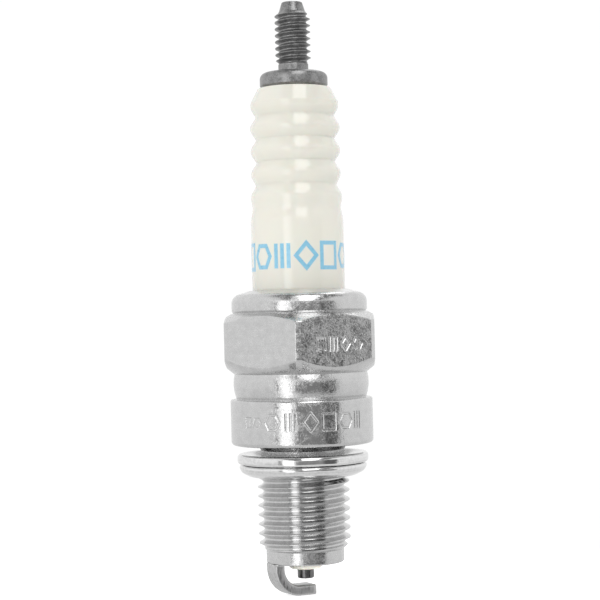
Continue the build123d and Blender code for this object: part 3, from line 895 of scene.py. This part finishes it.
def ground_electrode():
    """The bent strap, with bevelled edges and a slightly narrowed end."""
    root_r = STRAP_OUTER_R - STRAP_THICKNESS / 2
    leg_z = strap_low + STRAP_THICKNESS / 2
    bend_r = STRAP_BEND_R
    path = [(root_r, shell_low, 0.0), (root_r, (shell_low + leg_z + bend_r) / 2, 0.0)]
    for step in range(19):
        turn = math.radians(90 * step / 18)
        r = root_r - bend_r + bend_r * math.cos(turn)
        path.append((r, leg_z + bend_r - bend_r * math.sin(turn), turn))
    end_r = -STRAP_OVERHANG
    for share in (0.25, 0.5, 0.75, 1.0):
        r = root_r - bend_r + (end_r - root_r + bend_r) * share
        path.append((r, leg_z, math.pi / 2))
    section = strap_section()
    vertices, faces = [], []

    def row(r, z, turn, scale_t, scale_w):
        for out, side in section:
            out_r = r + out * scale_t * math.cos(turn)
            out_z = z - out * scale_t * math.sin(turn)
            x = out_r * math.cos(STRAP_TURN) - side * scale_w * math.sin(STRAP_TURN)
            y = out_r * math.sin(STRAP_TURN) + side * scale_w * math.cos(STRAP_TURN)
            vertices.append((x, y, out_z))

    for r, z, turn in path[:-1]:
        row(r, z, turn, 1, 1)
    r, z, turn = path[-1]
    row(r + 0.1, z, turn, 1, 1)
    row(r + 0.03, z, turn, 0.95, 0.975)
    row(r, z, turn, 0.84, 0.93)
    count = len(section)
    rows = len(vertices) // count
    for k in range(rows - 1):
        for c in range(count):
            after = (c + 1) % count
            here, there = k * count, (k + 1) * count
            faces.append([here + c, there + c, there + after, here + after])
    faces.append(list(range(count)))
    faces.append([(rows - 1) * count + c for c in range(count)][::-1])
    piece = new_object("ground_strap", vertices, faces, satin_nickel())
    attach(piece, "plug")
    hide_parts("ground_electrode")
    return piece


WELD_R = 0.13
WELD_SIDES = 10


def weld_flash():
    """The lumpy bead of weld round the strap's root, on the shell's end face."""
    uneven = random.Random(5)
    waves = [(lobes, uneven.uniform(0, TURN), uneven.uniform(0.1, 0.3)) for lobes in (3, 5, 8, 13)]
    root_r = STRAP_OUTER_R - STRAP_THICKNESS / 2
    section = strap_section()
    vertices, faces = [], []
    for k, (out, side) in enumerate(section):
        share = k / len(section)
        lumps = [part * math.sin(lobes * TURN * share + phase) for lobes, phase, part in waves]
        size = WELD_R * (1 + sum(lumps))
        spread_angle = math.atan2(side, out)
        for c in range(WELD_SIDES):
            turn = TURN * c / WELD_SIDES
            away = size * 0.8 * math.cos(turn) - size * 0.45
            r_out = root_r + out + away * math.cos(spread_angle)
            sideways = side + away * math.sin(spread_angle)
            x = r_out * math.cos(STRAP_TURN) - sideways * math.sin(STRAP_TURN)
            y = r_out * math.sin(STRAP_TURN) + sideways * math.cos(STRAP_TURN)
            vertices.append((x, y, shell_low - size * 0.3 + size * math.sin(turn)))
    count = len(section)
    for k in range(count):
        for c in range(WELD_SIDES):
            here, there = k * WELD_SIDES, (k + 1) % count * WELD_SIDES
            after = (c + 1) % WELD_SIDES
            faces.append([here + c, there + c, there + after, here + after])
    piece = new_object("strap_weld", vertices, faces, satin_nickel("weld_metal", 0.4, 0.7), 80)
    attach(piece, "plug")
    return piece


# ---- Inner pieces -------------------------------------------------------------------------


def finish_inner_pieces():
    """Materials for the CAD nodes that keep their own shape."""
    finishes = {
        "center_electrode": satin_nickel("electrode_nickel", 0.12, 0.22),
        "center_electrode_core": powder(
            "copper_core", (0.62, 0.30, 0.19), (0.75, 0.40, 0.26), 3, 0.003, 1.0, 0.35),
        "resistor": powder("resistor_carbon", 0.02, 0.06, 4, 0.02),
        "upper_glass_seal": powder(
            "upper_glass", (0.10, 0.07, 0.05), (0.26, 0.15, 0.09), 3, 0.01, 0.3, 0.4),
        "lower_glass_seal": powder(
            "lower_glass", (0.09, 0.07, 0.05), (0.24, 0.15, 0.09), 3, 0.01, 0.3, 0.4),
        "talc_packing": powder("pressed_talc", 0.74, 0.88, 6, 0.02),
        "upper_packing_ring": satin_nickel("upper_ring_wire"),
        "lower_packing_ring": satin_nickel("lower_ring_wire"),
        "seat_washer": satin_nickel("washer_steel"),
    }
    for node, material in finishes.items():
        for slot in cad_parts[node].material_slots:
            slot.material = material


# ---- Studio -------------------------------------------------------------------------------

LENS = 105.1
CAMERA_DISTANCE = 189.0
CAMERA_LIFT = -0.56
CAMERA_ROLL = 1.42
CAMERA_RIGHT = 0.1
AIM_Z = 15.45


def camera():
    """A long lens that looks along +Y from a little below the plug's middle."""
    data = bpy.data.cameras.new("camera")
    data.lens = LENS
    data.clip_start = 0.01
    obj = bpy.data.objects.new("camera", data)
    scene.collection.objects.link(obj)
    lift = math.radians(CAMERA_LIFT)
    reach = CAMERA_DISTANCE * MM
    obj.location = (CAMERA_RIGHT * MM, -reach * math.cos(lift), AIM_Z * MM + reach * math.sin(lift))
    obj.rotation_euler = (math.radians(90) - lift, 0, 0)
    obj.rotation_euler.rotate_axis("Z", math.radians(-CAMERA_ROLL))
    scene.camera = obj


FLOOR_R = 46.0


def floor():
    """A small pale round floor under the plug."""
    rim = [(FLOOR_R * math.cos(a), FLOOR_R * math.sin(a), strap_low) for a in even_angles(96)]
    m = Nodes("pale_floor")
    m.colour(m.colours(m.noise(0.02, 2), [(0.3, 0.9), (0.7, 0.94)]))
    m.fixed(Roughness=0.9, Emission_Color=(1, 1, 1, 1), Emission_Strength=0.6)
    disc = new_object("floor", rim, [list(range(96))], m.material)
    disc.visible_glossy = False


# Lights and cards of the surroundings: (left, right, soft edge), (low or near, high or far, soft
# edge), factor on the brightness there, and what is added to it. CEILING is in the X and Y of the
# direction looked in, well above the horizon. WALLS is in degrees of azimuth and elevation.
CEILING = [
    ((-0.44, 0.7, 0.04), (-0.97, 0.24, 0.04), 0.25, 0.0),
    ((-0.03, 0.42, 0.03), (-0.96, -0.15, 0.04), 1.0, 2.6),
    ((-0.04, 0.34, 0.03), (0.32, 0.74, 0.04), 1.0, 1.6),
]
WALLS = [
    ((-44, -36, 1.0), (-26, 15, 3), 0.5, 0.0),
    ((-35.5, -17, 2.2), (-40, 22, 4), 1.0, 1.3),
    ((-12, 62, 2.0), (-26, 8, 2.5), 0.34, 0.0),
    ((36, 62, 2.0), (-26, 8, 2.5), 0.4, 0.0),
]


def studio():
    """Soft white surroundings: a shaded ceiling with two lights in it, and the walls of WALLS."""
    world = bpy.data.worlds.new("studio")
    scene.world = world
    world.use_nodes = True
    tree = world.node_tree
    nodes, links = tree.nodes, tree.links
    background = nodes["Background"]
    place = nodes.new("ShaderNodeTexCoord").outputs["Generated"]
    split = nodes.new("ShaderNodeSeparateXYZ")
    links.new(place, split.inputs["Vector"])

    def math_node(operation, first, second=None, third=None):
        node = nodes.new("ShaderNodeMath")
        node.operation = operation
        for slot, value in enumerate((first, second, third)):
            if value is None:
                continue
            if isinstance(value, (int, float)):
                node.inputs[slot].default_value = value
            else:
                links.new(value, node.inputs[slot])
        return node.outputs["Value"]

    # azimuth in degrees: 0 behind the camera, growing to the camera's right
    turn = math_node("ARCTAN2", split.outputs["X"], math_node("MULTIPLY", split.outputs["Y"], -1.0))
    azimuth = math_node("MULTIPLY", turn, 180 / math.pi)
    flat = math_node("ARCSINE", split.outputs["Z"])
    elevation = math_node("MULTIPLY", flat, 180 / math.pi)

    def ramp(value, low, high):
        node = nodes.new("ShaderNodeMapRange")
        node.interpolation_type = "SMOOTHSTEP"
        node.inputs["From Min"].default_value = low
        node.inputs["From Max"].default_value = high
        links.new(value, node.inputs["Value"])
        return node.outputs["Result"]

    def window(value, low, high, edge):
        rise, fall = ramp(value, low - edge, low + edge), ramp(value, high + edge, high - edge)
        return math_node("MULTIPLY", rise, fall)

    def change(brightness, place, factor, extra):
        """The brightness times factor, plus extra, where place is 1."""
        scale = math_node("MULTIPLY_ADD", place, factor - 1, 1.0)
        return math_node("MULTIPLY_ADD", place, extra, math_node("MULTIPLY", brightness, scale))

    # pale all round, a little dimmer from below, and each light or card changes that
    brightness = math_node("MULTIPLY_ADD", ramp(elevation, -35, 10), 0.18, 0.78)
    overhead = ramp(split.outputs["Z"], 0.2, 0.3)
    for (left, right, side_edge), (near, far, depth_edge), factor, extra in CEILING:
        place = math_node(
            "MULTIPLY", window(split.outputs["X"], left, right, side_edge),
            window(split.outputs["Y"], near, far, depth_edge))
        brightness = change(brightness, math_node("MULTIPLY", overhead, place), factor, extra)
    for (left, right, side_edge), (low, high, rise_edge), factor, extra in WALLS:
        place = math_node(
            "MULTIPLY", window(azimuth, left, right, side_edge),
            window(elevation, low, high, rise_edge))
        brightness = change(brightness, place, factor, extra)
    seen = nodes.new("ShaderNodeLightPath").outputs["Is Camera Ray"]
    shown = math_node("MAXIMUM", math_node("MULTIPLY", seen, 1.02), math_node(
        "MULTIPLY", brightness, math_node("SUBTRACT", 1.0, seen)))
    links.new(shown, background.inputs["Strength"])
    background.inputs["Color"].default_value = (1, 1, 1, 1)
    scene.view_settings.view_transform = "Standard"


camera()
floor()
studio()
shell()
insulator()
printed_marks()
terminal_stud()
gasket()
ground_electrode()
weld_flash()
finish_inner_pieces()
